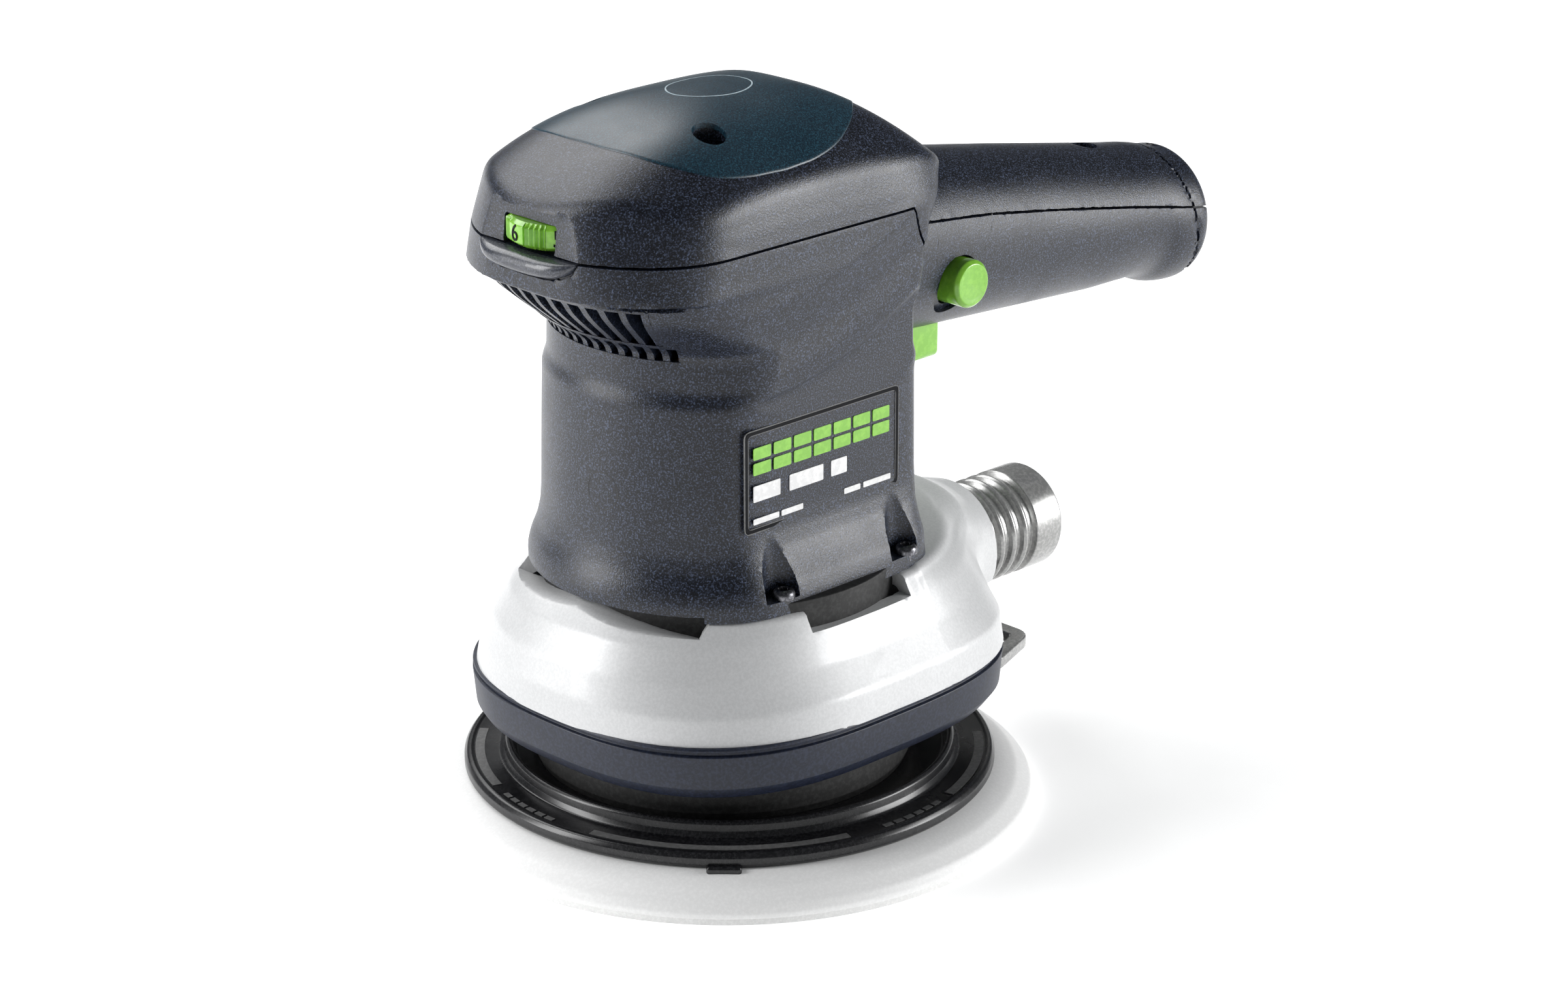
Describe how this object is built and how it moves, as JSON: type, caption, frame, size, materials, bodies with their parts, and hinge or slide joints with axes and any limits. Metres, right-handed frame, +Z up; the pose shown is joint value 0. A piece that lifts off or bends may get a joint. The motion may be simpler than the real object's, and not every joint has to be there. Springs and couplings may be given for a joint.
{
  "type": "random orbital sander",
  "caption": "Hand-held random orbital sander with a round dust-extraction pad on an eccentric drive, motor head with speed dial, rear handle with trigger and lock button, and a dust port.",
  "frame": {"origin": "on the motor axis, in the plane of the sanding face", "axes": "+Z up along the motor axis, +X towards the handle, +Y to the right-hand side when looking along +X from the dial, away from the label side"},
  "size_m": [0.2335, 0.15, 0.1795],
  "materials": {
    "housing_plastic": "fine grained moulding, blue-black",
    "inlay_plastic": "satin teal moulding",
    "silver_plastic": "satin silver paint on plastic",
    "skirt_plastic": "smooth satin navy",
    "green_plastic": "bright green moulding",
    "grey_plastic": "grey glass-filled plastic",
    "label_film": "printed film",
    "pad_foam": "closed-cell white foam",
    "hook_fabric": "hook fastening layer",
    "pad_plastic": "black moulding",
    "seal_rubber": "black rubber",
    "steel": "machined steel",
    "zinc_screw": "zinc plated",
    "aluminium": "die cast",
    "laminated_steel": "stacked laminations",
    "copper": "enamelled copper",
    "brass": "bare brass",
    "carbon": "pressed carbon",
    "black_plastic": "black moulding",
    "circuit_board": "potted board",
    "wire_insulation": "insulated lead"
  },
  "bodies": {
    "housing": {"motor_housing": "housing_plastic", "upper_cover": "housing_plastic", "cover_inlay": "inlay_plastic", "label_panel": "label_film", "fan_housing": "silver_plastic", "skirt": "skirt_plastic", "housing_screws": "zinc_screw", "cover_screws": "zinc_screw", "handle_screw": "zinc_screw", "dust_port": "grey_plastic", "bag_bracket": "grey_plastic", "speed_potentiometer": "black_plastic", "speed_controller": "circuit_board", "switch_module": "black_plastic", "trigger_pin": "steel", "plug_socket": "black_plastic", "plug_contacts": "brass", "lead_wires": "wire_insulation", "stator_core": "laminated_steel", "stator_coils": "copper", "brush_holders": "brass", "carbon_brushes": "carbon", "brush_springs": "steel", "bearing_flange": "aluminium", "flange_screws": "zinc_screw", "retaining_ring": "steel", "bearing_boot": "seal_rubber", "brake_seal": "seal_rubber", "lower_bearing_outer": "steel", "upper_bearing_outer": "steel", "lock_spring": "steel", "trigger_spring": "steel"},
    "rotor": {"armature_shaft": "steel", "armature_core": "laminated_steel", "armature_windings": "copper", "commutator": "copper", "cooling_fan": "black_plastic", "dust_fan": "black_plastic", "eccentric_hub": "aluminium", "counterweight": "steel", "pad_bearing_outer": "steel", "lower_bearing_inner": "steel", "lower_bearing_balls": "steel", "upper_bearing_inner": "steel", "upper_bearing_balls": "steel"},
    "pad": {"pad_hook_face": "hook_fabric", "pad_foam": "pad_foam", "pad_plate": "pad_plastic", "pad_plate_screws": "zinc_screw", "pad_spindle": "steel", "pad_screw": "zinc_screw", "pad_bearing_inner": "steel", "pad_bearing_balls": "steel"},
    "dial": {"speed_dial": "green_plastic"},
    "trigger": {"trigger_lever": "green_plastic"},
    "lock": {"lock_button": "green_plastic"}
  },
  "joints": [
    {"name": "armature_spin", "type": "hinge", "parent": "housing", "child": "rotor", "pos_m": [0, 0, 0.09], "axis": [0, 0, 1], "continuous": true},
    {"name": "pad_spin", "type": "hinge", "parent": "rotor", "child": "pad", "pos_m": [0.0025, 0, 0.0235], "axis": [0, 0, 1], "continuous": true},
    {"name": "dial_turn", "type": "hinge", "parent": "housing", "child": "dial", "pos_m": [-0.048, 0, 0.1552], "axis": [0, 0, 1], "range_deg": [-270, 0]},
    {"name": "trigger_pull", "type": "hinge", "parent": "housing", "child": "trigger", "pos_m": [0.043, 0, 0.1095], "axis": [0, -1, 0], "range_deg": [0, 7], "stiffness_Nm_per_rad": 0.3, "springref_deg": -8.59, "deforming": ["trigger_spring"]},
    {"name": "lock_press", "type": "slide", "parent": "housing", "child": "lock", "axis": [0, 1, 0], "range_m": [0, 0.003], "stiffness_N_per_m": 600, "springref_m": -0.002, "deforming": ["lock_spring"]}
  ]
}
